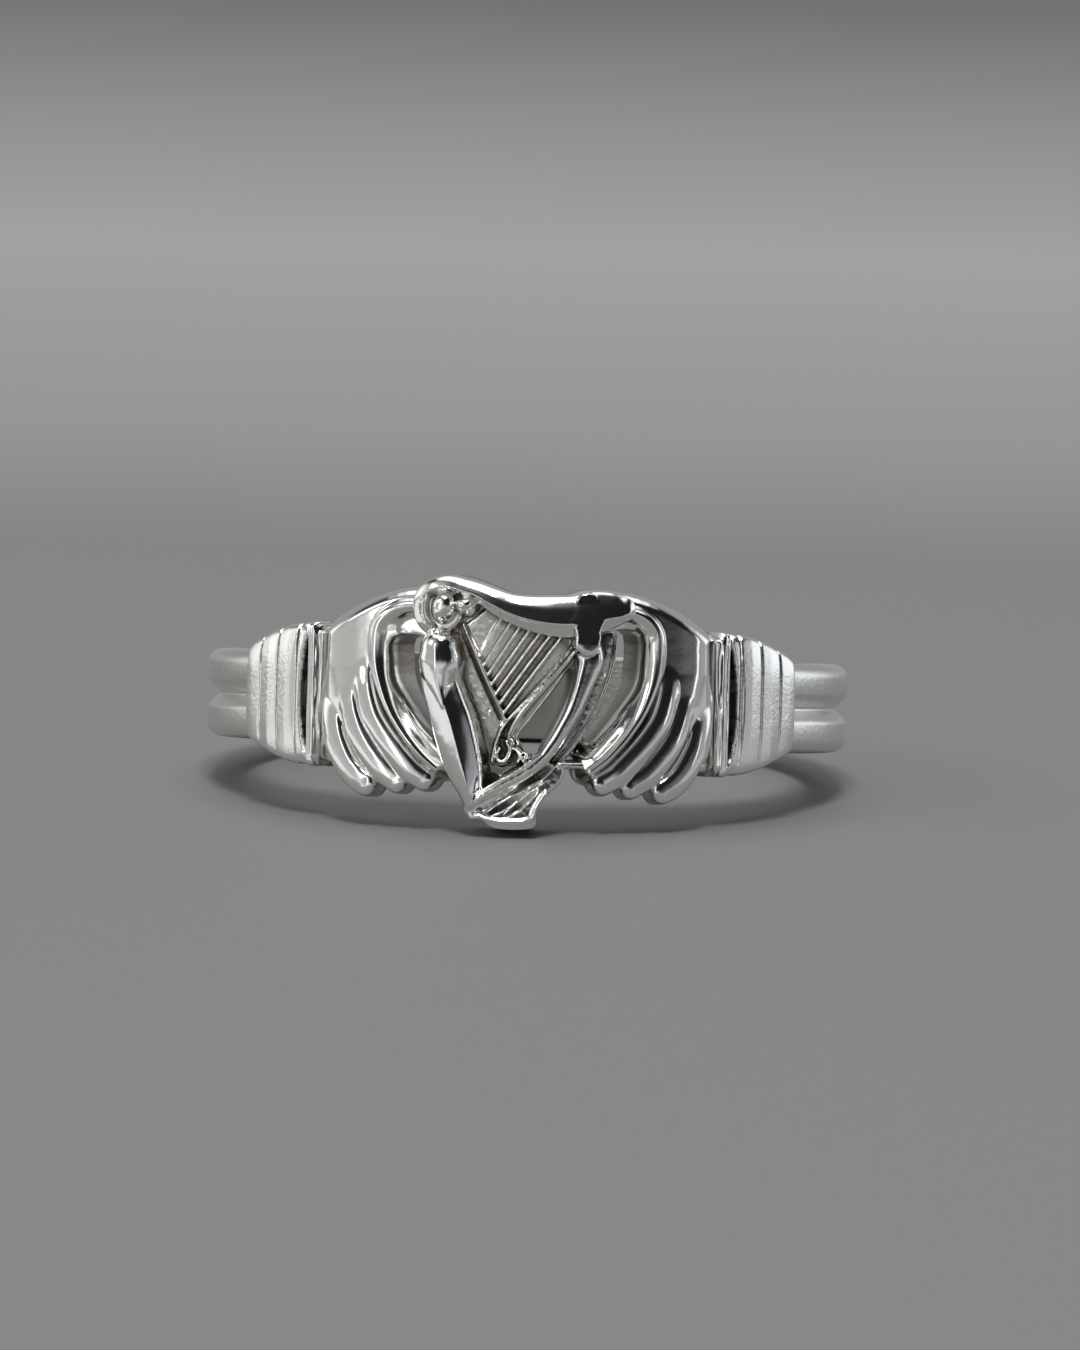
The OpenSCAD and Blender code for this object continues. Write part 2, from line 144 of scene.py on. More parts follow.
class Relief:
    """A patch of the ring unrolled flat: arc u and height v along the finger.

    top is the height of the surface above the hole, side the distance to the outline, under the
    height of the underside, and grain how far the surface is left as cast.
    """

    def __init__(self, u, v, step, level):
        self.step = step
        self.u = np.arange(u[0], u[1], step)
        self.v = np.arange(v[0], v[1], step)
        self.U, self.V = np.meshgrid(self.u, self.v, indexing="ij")
        self.top = np.full(self.U.shape, float(level))
        self.side = np.full(self.U.shape, FAR)
        self.under = np.zeros(self.U.shape)
        self.grain = np.zeros(self.U.shape)

    def window(self, lo, hi):
        """Slices of the grid between two corners."""
        i = np.searchsorted(self.u, [lo[0], hi[0]])
        j = np.searchsorted(self.v, [lo[1], hi[1]])
        return slice(*i), slice(*j)

    def near(self, p, margin):
        """The window round path p, and in it what the path's nearest point gives:

        distance, side of travel from -1 (left) to 1 (right), half width and rise.
        """
        reach = p[:, 2].max() * margin + LEAST_REACH
        win = self.window(p[:, :2].min(0) - reach, p[:, :2].max(0) + reach)
        U, V = self.U[win], self.V[win]
        best = np.full(U.shape, HUGE)
        lat, w, rise = np.zeros(U.shape), np.ones(U.shape), np.zeros(U.shape)
        for a, b in zip(p[:-1], p[1:]):
            d = b[:2] - a[:2]
            length = math.hypot(*d)
            if length < TINY:
                continue
            t = np.clip(((U - a[0]) * d[0] + (V - a[1]) * d[1]) / length ** 2, 0, 1)
            pu, pv = U - a[0] - t * d[0], V - a[1] - t * d[1]
            q = pu * pu + pv * pv
            m = q < best
            best[m] = q[m]
            lat[m] = ((d[1] * pu - d[0] * pv) / length)[m]
            w[m] = (a[2] + t * (b[2] - a[2]))[m]
            rise[m] = (a[3] + t * (b[3] - a[3]))[m]
        dist = np.sqrt(best)
        return win, dist, lat / np.maximum(dist, TINY), w, rise

    def ridge(self, rows, size, base, crest, left, right=None, soft=0.08, outline=False, steps=6):
        """Raised form along a path, with its own section on each side of travel."""
        win, dist, lat, w, rise = self.near(path(rows, size, steps), RIDGE_REACH)
        share = dist / w
        mix = (lat + 1) / 2
        up = (1 - mix) * half_section(left, share) + mix * half_section(right or left, share)
        up = up - np.maximum(share - 1, 0) * RIDGE_DROP
        form = base + (crest - base) * rise * up
        self.top[win] = smax(self.top[win], form, soft)
        if outline:
            self.side[win] = smin(self.side[win], dist - w, OUTLINE_SOFT)

    def groove(self, rows, size, depth):
        """Round groove along a path, as deep as depth times the table's rise."""
        win, dist, _, w, rise = self.near(path(rows, size), GROOVE_REACH)
        share = np.clip(dist / w, 0, 1)
        self.top[win] -= depth * rise * (1 - share ** 2) ** 2

    def boss(self, centre, radii, turn, base, crest, rows, size, soft=0.05, outline=False):
        """Oval form turned by an angle: rows give radius share and rise, from the middle out."""
        c = np.array(centre) * size
        ru, rv = np.array(radii) * size[1]
        reach = BOSS_REACH * max(ru, rv)
        win = self.window(c - reach, c + reach)
        U, V = self.U[win] - c[0], self.V[win] - c[1]
        a = math.radians(turn)
        x, y = U * math.cos(a) + V * math.sin(a), -U * math.sin(a) + V * math.cos(a)
        share = np.hypot(x / ru, y / rv)
        rows = spline(rows, 5)
        up = np.interp(share, rows[:, 0], rows[:, 1]) - np.maximum(share - 1, 0) * BOSS_DROP
        self.top[win] = smax(self.top[win], base + (crest - base) * up, soft)
        if outline:
            self.side[win] = smin(self.side[win], (share - 1) * min(ru, rv), OUTLINE_SOFT)

    def polygon(self, rows, size, smooth=4):
        """Signed distance to a closed outline, negative inside, over the whole patch."""
        p = (spline(rows, smooth, closed=True) if smooth else np.array(rows)) * np.array(size)
        best = np.full(self.U.shape, HUGE)
        inside = np.zeros(self.U.shape, bool)
        for a, b in zip(p, np.roll(p, -1, 0)):
            d = b - a
            t = np.clip(((self.U - a[0]) * d[0] + (self.V - a[1]) * d[1]) / (d @ d), 0, 1)
            q = (self.U - a[0] - t * d[0]) ** 2 + (self.V - a[1] - t * d[1]) ** 2
            best = np.minimum(best, q)
            if a[1] != b[1]:
                cross = (a[1] > self.V) != (b[1] > self.V)
                inside ^= cross & (self.U < a[0] + (self.V - a[1]) * d[0] / (b[1] - a[1]))
        return np.sqrt(best) * np.where(inside, -1, 1)

    def sample(self, grid, u, v):
        """Value of a grid at loose points."""
        x = np.clip((u - self.u[0]) / self.step, 0, len(self.u) - LAST_CELL)
        y = np.clip((v - self.v[0]) / self.step, 0, len(self.v) - LAST_CELL)
        i, j = x.astype(int), y.astype(int)
        x, y = x - i, y - j
        return ((grid[i, j] * (1 - x) + grid[i + 1, j] * x) * (1 - y)
                + (grid[i, j + 1] * (1 - x) + grid[i + 1, j + 1] * x) * y)


def blur(grid, cells):
    """Running mean over a square window, twice."""
    for _ in range(2):
        for axis in (0, 1):
            g = np.moveaxis(grid, axis, 0)
            ends = np.repeat(g[:1], cells + 1, 0), np.repeat(g[-1:], cells, 0)
            total = np.cumsum(np.concatenate([ends[0], g, ends[1]]), 0)
            g = (total[2 * cells + 1:] - total[:-2 * cells - 1]) / (2 * cells + 1)
            grid = np.moveaxis(g, 0, axis)
    return grid


def solid(name, relief, edge):
    """Mesh of the volume under a relief, inside its outline, with its edges rounded by edge."""
    gu, gv = np.gradient(relief.top, relief.step)
    slope = 1 / np.sqrt(1 + gu ** 2 + gv ** 2)

    def value(top, slope, side, under, h):
        f = smax((h - top) * slope, side, edge)
        return smax(f, under - h, UNDER_SOFT)

    skip = 2           # the volume is filled at every second point of the relief
    voxel = skip * relief.step
    heights = np.arange(-LAYERS_BELOW, int(relief.top.max() / voxel) + LAYERS_ABOVE) * voxel
    fields = [g[::skip, ::skip, None] for g in (relief.top, slope, relief.side, relief.under)]
    volume = value(*fields, heights[None, None, :])
    grid = openvdb.FloatGrid(background=1.0)
    grid.copyFromArray(np.clip(volume, -1, 1).astype(np.float32))
    points, _, quads = grid.convertToPolygons(isovalue=0.0)
    p = points.astype(float) * voxel + np.array([relief.u[0], relief.v[0], heights[0]])

    def at(q):
        return value(*[relief.sample(g, q[:, 0], q[:, 1])
                       for g in (relief.top, slope, relief.side, relief.under)], q[:, 2])

    # Every point is brought on to the exact surface
    small = relief.step
    for _ in range(SNAPS):
        f = at(p)
        grad = np.stack([(at(p + small * axis) - at(p - small * axis)) / (2 * small)
                         for axis in np.eye(3)], 1)
        move = -f[:, None] * grad / np.maximum((grad ** 2).sum(1), LEAST_SLOPE)[:, None]
        p += np.clip(move, -voxel / 2, voxel / 2)

    # Tarnish and painted shade: hollows of the relief are darkened, side walls and undersides
    # fully, as painted shade
    tarnish_and_shade = np.maximum(*[(blur(relief.top, int(width / relief.step)) - relief.top) / full
                          for width, full in RECESSES])
    depth = relief.sample(relief.top, p[:, 0], p[:, 1]) - p[:, 2]
    on_top = np.clip(1 - depth / SIDE_FROM, 0, 1)
    wall = np.clip(depth / SIDE_FROM - 1, 0, 1)
    grained = relief.sample(relief.grain, p[:, 0], p[:, 1])
    darkening = np.clip(relief.sample(tarnish_and_shade, p[:, 0], p[:, 1]), -1, 1)
    masks = {"tarnish_and_shade": np.maximum(darkening * on_top, wall),
             "grain": np.maximum(grained * on_top, wall)}
    mesh_piece(name, wrap(p), quads.astype(int), masks)


def mesh_piece(name, points, quads, masks):
    """A closed mesh with outward faces that rides on the ring and stands for it."""
    a, b, c, d = (points[quads[:, k]] for k in range(4))
    volume = np.einsum("ij,ij->", a, np.cross(b, c)) + np.einsum("ij,ij->", a, np.cross(c, d))
    if volume < 0:
        quads = quads[:, ::-1]
    mesh = bpy.data.meshes.new(name)
    mesh.vertices.add(len(points))
    mesh.vertices.foreach_set("co", points.astype(np.float32).ravel())
    mesh.loops.add(quads.size)
    mesh.loops.foreach_set("vertex_index", quads.astype(np.int32).ravel())
    mesh.polygons.add(len(quads))
    mesh.polygons.foreach_set("loop_start", np.arange(0, quads.size, 4, dtype=np.int32))
    mesh.update(calc_edges=True)
    mesh.validate()
    for key in ("tarnish_and_shade", "grain"):
        layer = mesh.attributes.new(key, "FLOAT", "POINT")
        layer.data.foreach_set("value", masks[key].astype(np.float32))
    mesh.polygons.foreach_set("use_smooth", np.ones(len(quads), bool))
    obj = bpy.data.objects.new(name, mesh)
    bpy.context.scene.collection.objects.link(obj)
    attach(obj, "root")
    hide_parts("ring")
    obj.data.materials.append(silver)
    print(name, "triangles", 2 * len(quads))


def look(obj, place, target, roll=0.0):
    """Puts a camera or lamp at a place, turned to a target."""
    back = (Vector(place) - Vector(target)).normalized()
    obj.rotation_mode = "QUATERNION"
    turn = back.to_track_quat("Z", "Y").to_matrix().to_4x4() @ Matrix.Rotation(roll, 4, "Z")
    obj.matrix_world = Matrix.Translation(place) @ turn


def from_side(azimuth, elevation, distance):
    """Place round the ring, in metres: azimuth is 0 before the harp and grows towards +X."""
    a, e = math.radians(azimuth), math.radians(elevation)
    return Vector((math.sin(a) * math.cos(e), -math.cos(a) * math.cos(e), math.sin(e))) * distance


# Camera: distances in metres, angles in degrees, lens and sensor in millimetres
CAMERA_FAR, CAMERA_CLIP = 0.24, 0.01
CAMERA_LENS, CAMERA_SENSOR = 203.5, 36
CAMERA_AZ, CAMERA_EL, CAMERA_ROLL = 2.0, 8.0, 1.3
AIM_RIGHT, AIM_UP = 0.00038, 0.00079
camera_data = bpy.data.cameras.new("camera")
camera_data.lens = CAMERA_LENS
camera_data.sensor_width = CAMERA_SENSOR
camera_data.clip_start = CAMERA_CLIP
camera = bpy.data.objects.new("camera", camera_data)
bpy.context.scene.collection.objects.link(camera)
bpy.context.scene.camera = camera
eye = from_side(CAMERA_AZ, CAMERA_EL, CAMERA_FAR)
right = Vector((math.cos(math.radians(CAMERA_AZ)), math.sin(math.radians(CAMERA_AZ)), 0))
up = right.cross(-eye.normalized()).normalized()
shift = right * AIM_RIGHT + up * AIM_UP
look(camera, eye + shift, shift, math.radians(CAMERA_ROLL))


def material(name):
    """A new material with one Principled shader: itself, its nodes, its links, the shader."""
    m = bpy.data.materials.new(name)
    m.use_nodes = True
    nodes = m.node_tree.nodes
    nodes.clear()
    out = nodes.new("ShaderNodeOutputMaterial")
    shader = nodes.new("ShaderNodeBsdfPrincipled")
    m.node_tree.links.new(shader.outputs[0], out.inputs[0])
    return m, nodes, m.node_tree.links, shader


def noise(nodes, links, coords, scale, detail=4.0):
    """Noise from 0 to 1; scale is its cells a metre."""
    n = nodes.new("ShaderNodeTexNoise")
    n.inputs["Scale"].default_value = scale
    n.inputs["Detail"].default_value = detail
    links.new(coords, n.inputs["Vector"])
    return n.outputs["Fac"]


def ramp(nodes, links, value, stops):
    """Colour by a value: stops give place and colour."""
    r = nodes.new("ShaderNodeValToRGB")
    links.new(value, r.inputs[0])
    for k, (place, colour) in enumerate(stops):
        e = r.color_ramp.elements[k] if k < 2 else r.color_ramp.elements.new(place)
        e.position = place
        e.color = (*colour, 1)
    return r.outputs["Color"]


def map_range(nodes, links, value, ends):
    """Map Range node of a value; ends gives the inputs that differ from 0 and 1."""
    n = nodes.new("ShaderNodeMapRange")
    links.new(value, n.inputs["Value"])
    for key, end in ends.items():
        n.inputs[key].default_value = end
    return n


def arithmetic(nodes, links, operation, *values):
    """Math node: each value is a number or another node's output."""
    n = nodes.new("ShaderNodeMath")
    n.operation = operation
    for socket, value in zip(n.inputs, values):
        if isinstance(value, float):
            socket.default_value = value
        else:
            links.new(value, socket)
    return n.outputs[0]


# Silver: bright where polished, darkened by tarnish and painted shade in the hollows, duller and
# pitted where left as cast
SILVER_TONE = (0.93, 0.93, 0.915, 1)
TARNISH_AND_SHADE_TONES = [(0.45, (0.33, 0.33, 0.31)), (0.7, (0.34, 0.28, 0.25))]
TARNISH_AND_SHADE_FROM = 0.35            # share of the mask at which tarnish and painted shade begin
TARNISH_AND_SHADE_CELLS, POLISH_CELLS, PIT_CELLS, WEAR_CELLS = 1100, 900, 9000, 2200
PIT_DETAIL, WEAR_DETAIL = 3, 2
ROUGH_LEAST, ROUGH_MOST, CAST_ROUGH = 0.08, 0.17, 0.26
PIT_HEIGHT, WEAR_HEIGHT = 2.5, 0.7
BUMP_STRENGTH, BUMP_HEIGHT = 0.25, 0.00003
silver, nodes, links, shader = material("silver")
shader.inputs["Metallic"].default_value = 1
coords = nodes.new("ShaderNodeTexCoord").outputs["Object"]
masks = {}
for key in ("tarnish_and_shade", "grain"):
    attribute = nodes.new("ShaderNodeAttribute")
    attribute.attribute_name = key
    masks[key] = attribute.outputs["Fac"]
# Tarnish and painted shade: the mask turns the silver to darker brownish tones in hollows, on
# side walls and inside the band
tarnish_and_shade_mix = nodes.new("ShaderNodeMix")
tarnish_and_shade_mix.data_type = "RGBA"
darkened_share = map_range(nodes, links, masks["tarnish_and_shade"], {"From Min": TARNISH_AND_SHADE_FROM})
links.new(darkened_share.outputs[0], tarnish_and_shade_mix.inputs["Factor"])
tarnish_and_shade_mix.inputs[6].default_value = SILVER_TONE
darkening = ramp(nodes, links, noise(nodes, links, coords, TARNISH_AND_SHADE_CELLS), TARNISH_AND_SHADE_TONES)
links.new(darkening, tarnish_and_shade_mix.inputs[7])
links.new(tarnish_and_shade_mix.outputs[2], shader.inputs["Base Color"])
rough = map_range(nodes, links, noise(nodes, links, coords, POLISH_CELLS),
                  {"To Min": ROUGH_LEAST, "To Max": ROUGH_MOST})
satin = arithmetic(nodes, links, "MULTIPLY_ADD", masks["grain"], CAST_ROUGH, rough.outputs[0])
links.new(satin, shader.inputs["Roughness"])
pit_noise = noise(nodes, links, coords, PIT_CELLS, PIT_DETAIL)
pits = arithmetic(nodes, links, "MULTIPLY", pit_noise, masks["grain"])
deep = arithmetic(nodes, links, "MULTIPLY", pits, PIT_HEIGHT)
wear = noise(nodes, links, coords, WEAR_CELLS, WEAR_DETAIL)
bumps = arithmetic(nodes, links, "MULTIPLY_ADD", wear, WEAR_HEIGHT, deep)
bump = nodes.new("ShaderNodeBump")
bump.inputs["Strength"].default_value = BUMP_STRENGTH
bump.inputs["Distance"].default_value = BUMP_HEIGHT
links.new(bumps, bump.inputs["Height"])
links.new(bump.outputs[0], shader.inputs["Normal"])

# Floor: painted light, its colour rising and falling with the distance behind the ring in place
# of the light that falls off there
FLOOR_PAINTED_LIGHT = [      # distance behind the ring in metres, painted tone
    (-0.10, 0.184), (0.06, 0.212), (0.10, 0.302), (0.20, 0.430), (0.30, 0.362), (0.48, 0.203)]
FLOOR_NEAR, FLOOR_FAR = FLOOR_PAINTED_LIGHT[0][0], FLOOR_PAINTED_LIGHT[-1][0]
FLOOR_TINT = (0.99, 1.015, 0.975)
FLOOR_ROUGH, FLOOR_HALF = 0.7, 2.0
floor_material, nodes, links, shader = material("pale_floor")
shader.inputs["Roughness"].default_value = FLOOR_ROUGH
split = nodes.new("ShaderNodeSeparateXYZ")
links.new(nodes.new("ShaderNodeTexCoord").outputs["Object"], split.inputs[0])
behind = map_range(nodes, links, split.outputs["Y"],
                   {"From Min": FLOOR_NEAR, "From Max": FLOOR_FAR})
painted_floor_light = ramp(nodes, links, behind.outputs[0],
            [((y - FLOOR_NEAR) / (FLOOR_FAR - FLOOR_NEAR), [t * c for c in FLOOR_TINT])
             for y, t in FLOOR_PAINTED_LIGHT])
links.new(painted_floor_light, shader.inputs["Base Color"])
floor_mesh = bpy.data.meshes.new("floor")
corners = [(x * FLOOR_HALF, y * FLOOR_HALF, 0)
           for x, y in ((-1, -1), (1, -1), (1, 1), (-1, 1))]
floor_mesh.from_pydata(corners, [], [(0, 1, 2, 3)])
floor = bpy.data.objects.new("floor", floor_mesh)
floor.location.z = FLOOR_Z
bpy.context.scene.collection.objects.link(floor)
floor.data.materials.append(floor_material)


def softbox(name, place, target, width, height, bright):
    """Area light seen in the silver but not by the camera; bright is the radiance of its face."""
    data = bpy.data.lights.new(name, "AREA")
    data.shape = "RECTANGLE"
    data.size, data.size_y = width, height
    data.energy = bright * math.pi * width * height
    lamp = bpy.data.objects.new(name, data)
    bpy.context.scene.collection.objects.link(lamp)
    look(lamp, place, target)
    lamp.visible_camera = False


LAMP_FAR = 0.5         # in metres
LAMPS = [      # name, azimuth, elevation, width and height in metres, brightness
    ("overhead", 0, 62, 0.12, 0.12, 30),
    ("left_high", -60, 31, 0.15, 0.14, 3.8),
    ("left_near", -32, 14, 0.04, 0.25, 2.4),
    ("right_near", 60, 6, 0.02, 0.1, 2.0)]
CARDS = [("card_left", -0.05, 0.55), ("card_right", 0.05, 0.18)]      # across, brightness
CARD_Y, CARD_LIFT, CARD_SIZE = -0.03, 0.0002, (0.07, 0.05)
CENTRE, UP = Vector((0, 0, 0)), Vector((0, 0, 1))
for name, azimuth, elevation, width, height, bright in LAMPS:
    softbox(name, from_side(azimuth, elevation, LAMP_FAR), CENTRE, width, height, bright)
for name, x, bright in CARDS:
    card = Vector((x, CARD_Y, FLOOR_Z + CARD_LIFT))
    softbox(name, card, card + UP, *CARD_SIZE, bright)

# The studio round the ring: soft-edged bright zones, dark between them
GLOWS = [      # azimuth, elevation, full inside and none outside these angles, colour
    (180, 84, 27, 38, (1.15, 1.15, 1.15)),
    (180, 24, 34, 55, (0.30, 0.30, 0.30)),
    (-62, 14, 26, 52, (0.38, 0.39, 0.375)),
    (-108, 8, 12, 34, (0.80, 0.80, 0.78)),
    (113, 8, 12, 36, (1.02, 1.05, 1.08)),
    (76, 10, 6, 20, (0.25, 0.26, 0.28)),
    (46, -4, 7, 16, (0.05, 0.05, 0.055)),
    (-26, -3, 8, 18, (0.32, 0.32, 0.31)),
    (-8, -6, 8, 17, (0.50, 0.49, 0.50)),
    (10, -6, 8, 17, (0.40, 0.40, 0.41)),
    (0, -90, 88, 100, (0.12, 0.12, 0.125))]
DARK = (0.010, 0.0095, 0.011)
world = bpy.data.worlds.new("world")
bpy.context.scene.world = world
world.use_nodes = True
nodes, links = world.node_tree.nodes, world.node_tree.links
ray = nodes.new("ShaderNodeTexCoord").outputs["Generated"]
total = None
for azimuth, elevation, full, none, colour in GLOWS:
    dot = nodes.new("ShaderNodeVectorMath")
    dot.operation = "DOT_PRODUCT"
    links.new(ray, dot.inputs[0])
    dot.inputs[1].default_value = from_side(azimuth, elevation, 1)
    ends = {"From Min": math.cos(math.radians(none)), "From Max": math.cos(math.radians(full))}
    edge = map_range(nodes, links, dot.outputs["Value"], ends)
    edge.interpolation_type = "SMOOTHSTEP"
    zone = nodes.new("ShaderNodeVectorMath")
    zone.operation = "SCALE"
    zone.inputs[0].default_value = colour
    links.new(edge.outputs[0], zone.inputs["Scale"])
    add = nodes.new("ShaderNodeVectorMath")
    add.inputs[1].default_value = DARK
    links.new(zone.outputs[0], add.inputs[0])
    if total:
        links.new(total, add.inputs[1])
    total = add.outputs[0]
links.new(total, nodes["Background"].inputs[0])
bpy.context.scene.view_settings.view_transform = "Standard"

# Harp. A path's rows give arc and height along the finger as shares of HARP, half width as a
# share of HARP's height, and rise from PANEL to CREST. An outline's rows give arc and height
NECK = [      # from the scroll's lower end round its edge, then along to the right
    (-0.62, 0.53, 0.05, 0.55), (-0.74, 0.555, 0.055, 0.60), (-0.84, 0.63, 0.06, 0.65),
    (-0.875, 0.735, 0.06, 0.70), (-0.84, 0.84, 0.065, 0.80), (-0.74, 0.91, 0.07, 0.90),
    (-0.60, 0.935, 0.075, 0.95), (-0.45, 0.905, 0.08, 0.97), (-0.34, 0.875, 0.085, 0.98),
    (-0.21, 0.82, 0.10, 1.00), (-0.06, 0.76, 0.12, 1.00), (0.11, 0.72, 0.148, 1.00),
    (0.31, 0.70, 0.17, 1.00), (0.50, 0.703, 0.177, 1.00), (0.65, 0.735, 0.18, 0.98),
    (0.79, 0.752, 0.166, 0.96), (0.87, 0.757, 0.14, 0.95), (0.925, 0.765, 0.115, 0.93)]
NECK_UP = [(0, 0.96), (0.4, 0.9), (0.86, 0.76), (0.93, 0.6), (0.97, 0.3), (1, 0)]
NECK_DOWN = [(0, 0.96), (0.2, 0.985), (0.38, 1.0), (0.5, 0.93), (0.75, 0.8), (0.94, 0.66),
             (1, 0.2)]
SCROLL_AT, SCROLL_R = (-0.66, 0.74), (0.18, 0.21)      # the disc under the scroll
SCROLL = [(0, 0.5), (0.5, 0.5), (0.8, 0.5), (0.9, 0.44), (1, 0.15)]
VOLUTE = [      # the line inside its edge
    (-0.75, 0.885, 0.028, 0.66), (-0.80, 0.82, 0.036, 0.78), (-0.815, 0.74, 0.038, 0.80),
    (-0.795, 0.66, 0.036, 0.78), (-0.74, 0.60, 0.03, 0.70)]
EYE_AT, EYE_R, EYE_TURN = (-0.635, 0.755), (0.112, 0.15), -15      # the raised middle
EYE = [(0, 0.99), (0.3, 0.98), (0.55, 0.91), (0.75, 0.76), (0.9, 0.55), (1, 0.3)]
BALL_AT, BALL_R = (-0.435, 0.772), (0.088, 0.088)      # the small knob beside it
BALL = [(0, 1), (0.4, 0.92), (0.7, 0.71), (0.88, 0.47), (1, 0.1)]
BALL_BASE, BALL_CREST = PANEL + 0.45, PANEL + 1.15
SHOULDER = [      # rounded top of the soundbox, running out into its crest line
    (-0.675, 0.42, 0.165, 1.02), (-0.668, 0.32, 0.185, 1.05), (-0.66, 0.20, 0.150, 1.03),
    (-0.635, 0.08, 0.085, 1.00), (-0.60, -0.04, 0.03, 0.975)]
SHOULDER_SIDE = [(0, 1), (0.3, 0.975), (0.6, 0.88), (0.82, 0.70), (0.94, 0.5), (1, 0.3)]
SOUNDBOX = [
    (-0.675, 0.42, 0.165, 1.00), (-0.668, 0.32, 0.185, 1.04),
    (-0.655, 0.16, 0.170, 1.00), (-0.60, 0.0, 0.175, 0.98), (-0.545, -0.14, 0.185, 0.97),
    (-0.50, -0.28, 0.185, 0.96), (-0.45, -0.44, 0.175, 0.94), (-0.405, -0.58, 0.15, 0.92),
    (-0.37, -0.70, 0.11, 0.88), (-0.355, -0.82, 0.07, 0.80)]
BOX_LEFT = [(0, 1), (0.1, 0.98), (0.5, 0.86), (0.85, 0.68), (0.95, 0.5), (1, 0.3)]
BOX_RIGHT = [(0, 1), (0.08, 0.98), (0.4, 0.80), (0.68, 0.62), (0.74, 0.61), (0.81, 0.67),
             (0.87, 0.62), (0.94, 0.35), (1, 0.1)]
PILLAR = [
    (0.625, 0.47, 0.13, 0.78), (0.655, 0.36, 0.125, 0.80), (0.62, 0.24, 0.105, 0.80),
    (0.57, 0.10, 0.09, 0.80), (0.51, -0.05, 0.08, 0.80), (0.43, -0.19, 0.075, 0.80),
    (0.34, -0.33, 0.07, 0.80), (0.22, -0.46, 0.07, 0.80), (0.06, -0.57, 0.07, 0.78),
    (-0.12, -0.66, 0.065, 0.76), (-0.28, -0.75, 0.06, 0.74), (-0.36, -0.81, 0.05, 0.72)]
JOINT = [      # the knuckle where the pillar leaves the neck
    (0.603, 0.80, 0.10, 0.87), (0.603, 0.72, 0.12, 0.955), (0.605, 0.665, 0.15, 1.00),
    (0.608, 0.62, 0.125, 1.025), (0.61, 0.57, 0.108, 1.05), (0.605, 0.49, 0.104, 1.09)]
JOINT_SIDE = [(0, 1), (0.8, 0.99), (0.9, 0.86), (1, 0.3)]
DRAPE = [      # edge of the drapery to the right of the pillar
    (0.90, 0.56, 0.04, 0.42), (0.885, 0.40, 0.045, 0.45), (0.83, 0.20, 0.045, 0.45),
    (0.73, -0.04, 0.045, 0.45), (0.63, -0.20, 0.045, 0.45), (0.50, -0.36, 0.045, 0.42),
    (0.40, -0.46, 0.04, 0.40)]
HEM = [(0.40, -0.475, 0.03, 0.68), (0.60, -0.478, 0.042, 0.66)]
DRAPE_WEB = [      # outline of the thin web between that edge and the pillar
    (0.60, 0.50), (0.88, 0.60), (0.89, 0.40), (0.82, 0.18), (0.72, -0.05), (0.62, -0.20),
    (0.50, -0.36), (0.40, -0.45), (0.30, -0.40), (0.5, 0.0)]
WEB_TOP = 1.68
FOOT = [
    (-0.36, -0.80), (-0.05, -0.62), (0.30, -0.42), (0.44, -0.48), (0.42, -0.62), (0.29, -0.73),
    (0.23, -0.83), (0.21, -0.97), (0.05, -1.0), (-0.16, -0.99), (-0.26, -0.93), (-0.37, -0.92)]
FOOT_TOP, FOOT_SLOPE, FOOT_SATIN = 1.97, -0.055, 0.3
FOOT_RIM = [
    (-0.29, -0.90, 0.05, 0.70), (-0.12, -0.935, 0.06, 0.73), (0.05, -0.94, 0.065, 0.74),
    (0.17, -0.91, 0.06, 0.76), (0.22, -0.82, 0.055, 0.79), (0.29, -0.71, 0.05, 0.83)]
FOLDS = [      # grooves between the folds of the drapery below the pillar
    [(0.36, -0.47, 0.02, 0.5), (0.27, -0.535, 0.04, 1.0), (0.15, -0.62, 0.042, 1.0),
     (0.02, -0.70, 0.03, 0.6), (-0.12, -0.775, 0.02, 0.4), (-0.24, -0.84, 0.015, 0.3)],
    [(0.23, -0.625, 0.025, 0.2), (0.14, -0.68, 0.03, 0.7), (0.0, -0.77, 0.04, 1.0),
     (-0.14, -0.85, 0.035, 0.8), (-0.24, -0.90, 0.015, 0.3)],
    [(0.20, -0.69, 0.025, 0.2), (0.13, -0.745, 0.035, 0.8), (0.04, -0.82, 0.04, 1.0),
     (-0.05, -0.885, 0.02, 0.4)]]
POOL = [      # the hollow between the soundbox's lower end and the pillar's
    (-0.34, -0.50, 0.05, 0.6), (-0.31, -0.62, 0.075, 1.0), (-0.20, -0.60, 0.05, 0.7)]
FOLD_DEPTH, POOL_DEPTH = 0.34, 0.35
PANEL_EDGE = [      # outline of the ground between neck, soundbox and pillar
    (-0.60, 0.62), (-0.45, 0.82), (0.0, 0.76), (0.60, 0.66), (0.62, 0.40), (0.50, 0.10),
    (0.25, -0.42), (0.0, -0.60), (-0.35, -0.75), (-0.55, -0.40)]
PANEL_SLOPE = 0.11
STRING_PANEL = [      # outline of the raised ground under the strings
    (-0.47, 0.60), (-0.2, 0.80), (0.6, 0.66), (0.57, 0.50), (0.10, -0.02), (-0.06, -0.16)]
STRING_LIFT, STRING_EDGE, STRING_SATIN = 0.1, 0.06, 0.25
STRING_RIDGE = [      # the ridge that the strings rise from
    (-0.47, 0.62, 0.028, 0.46), (-0.31, 0.31, 0.034, 0.54), (-0.19, 0.08, 0.034, 0.54),
    (-0.08, -0.13, 0.028, 0.50)]
RIDGE_STEP = [      # the groove to its left
    (-0.51, 0.60, 0.028, 0.5), (-0.35, 0.29, 0.035, 1.0), (-0.235, 0.07, 0.035, 1.0),
    (-0.13, -0.12, 0.028, 0.8)]
STEP_DEPTH = 0.22
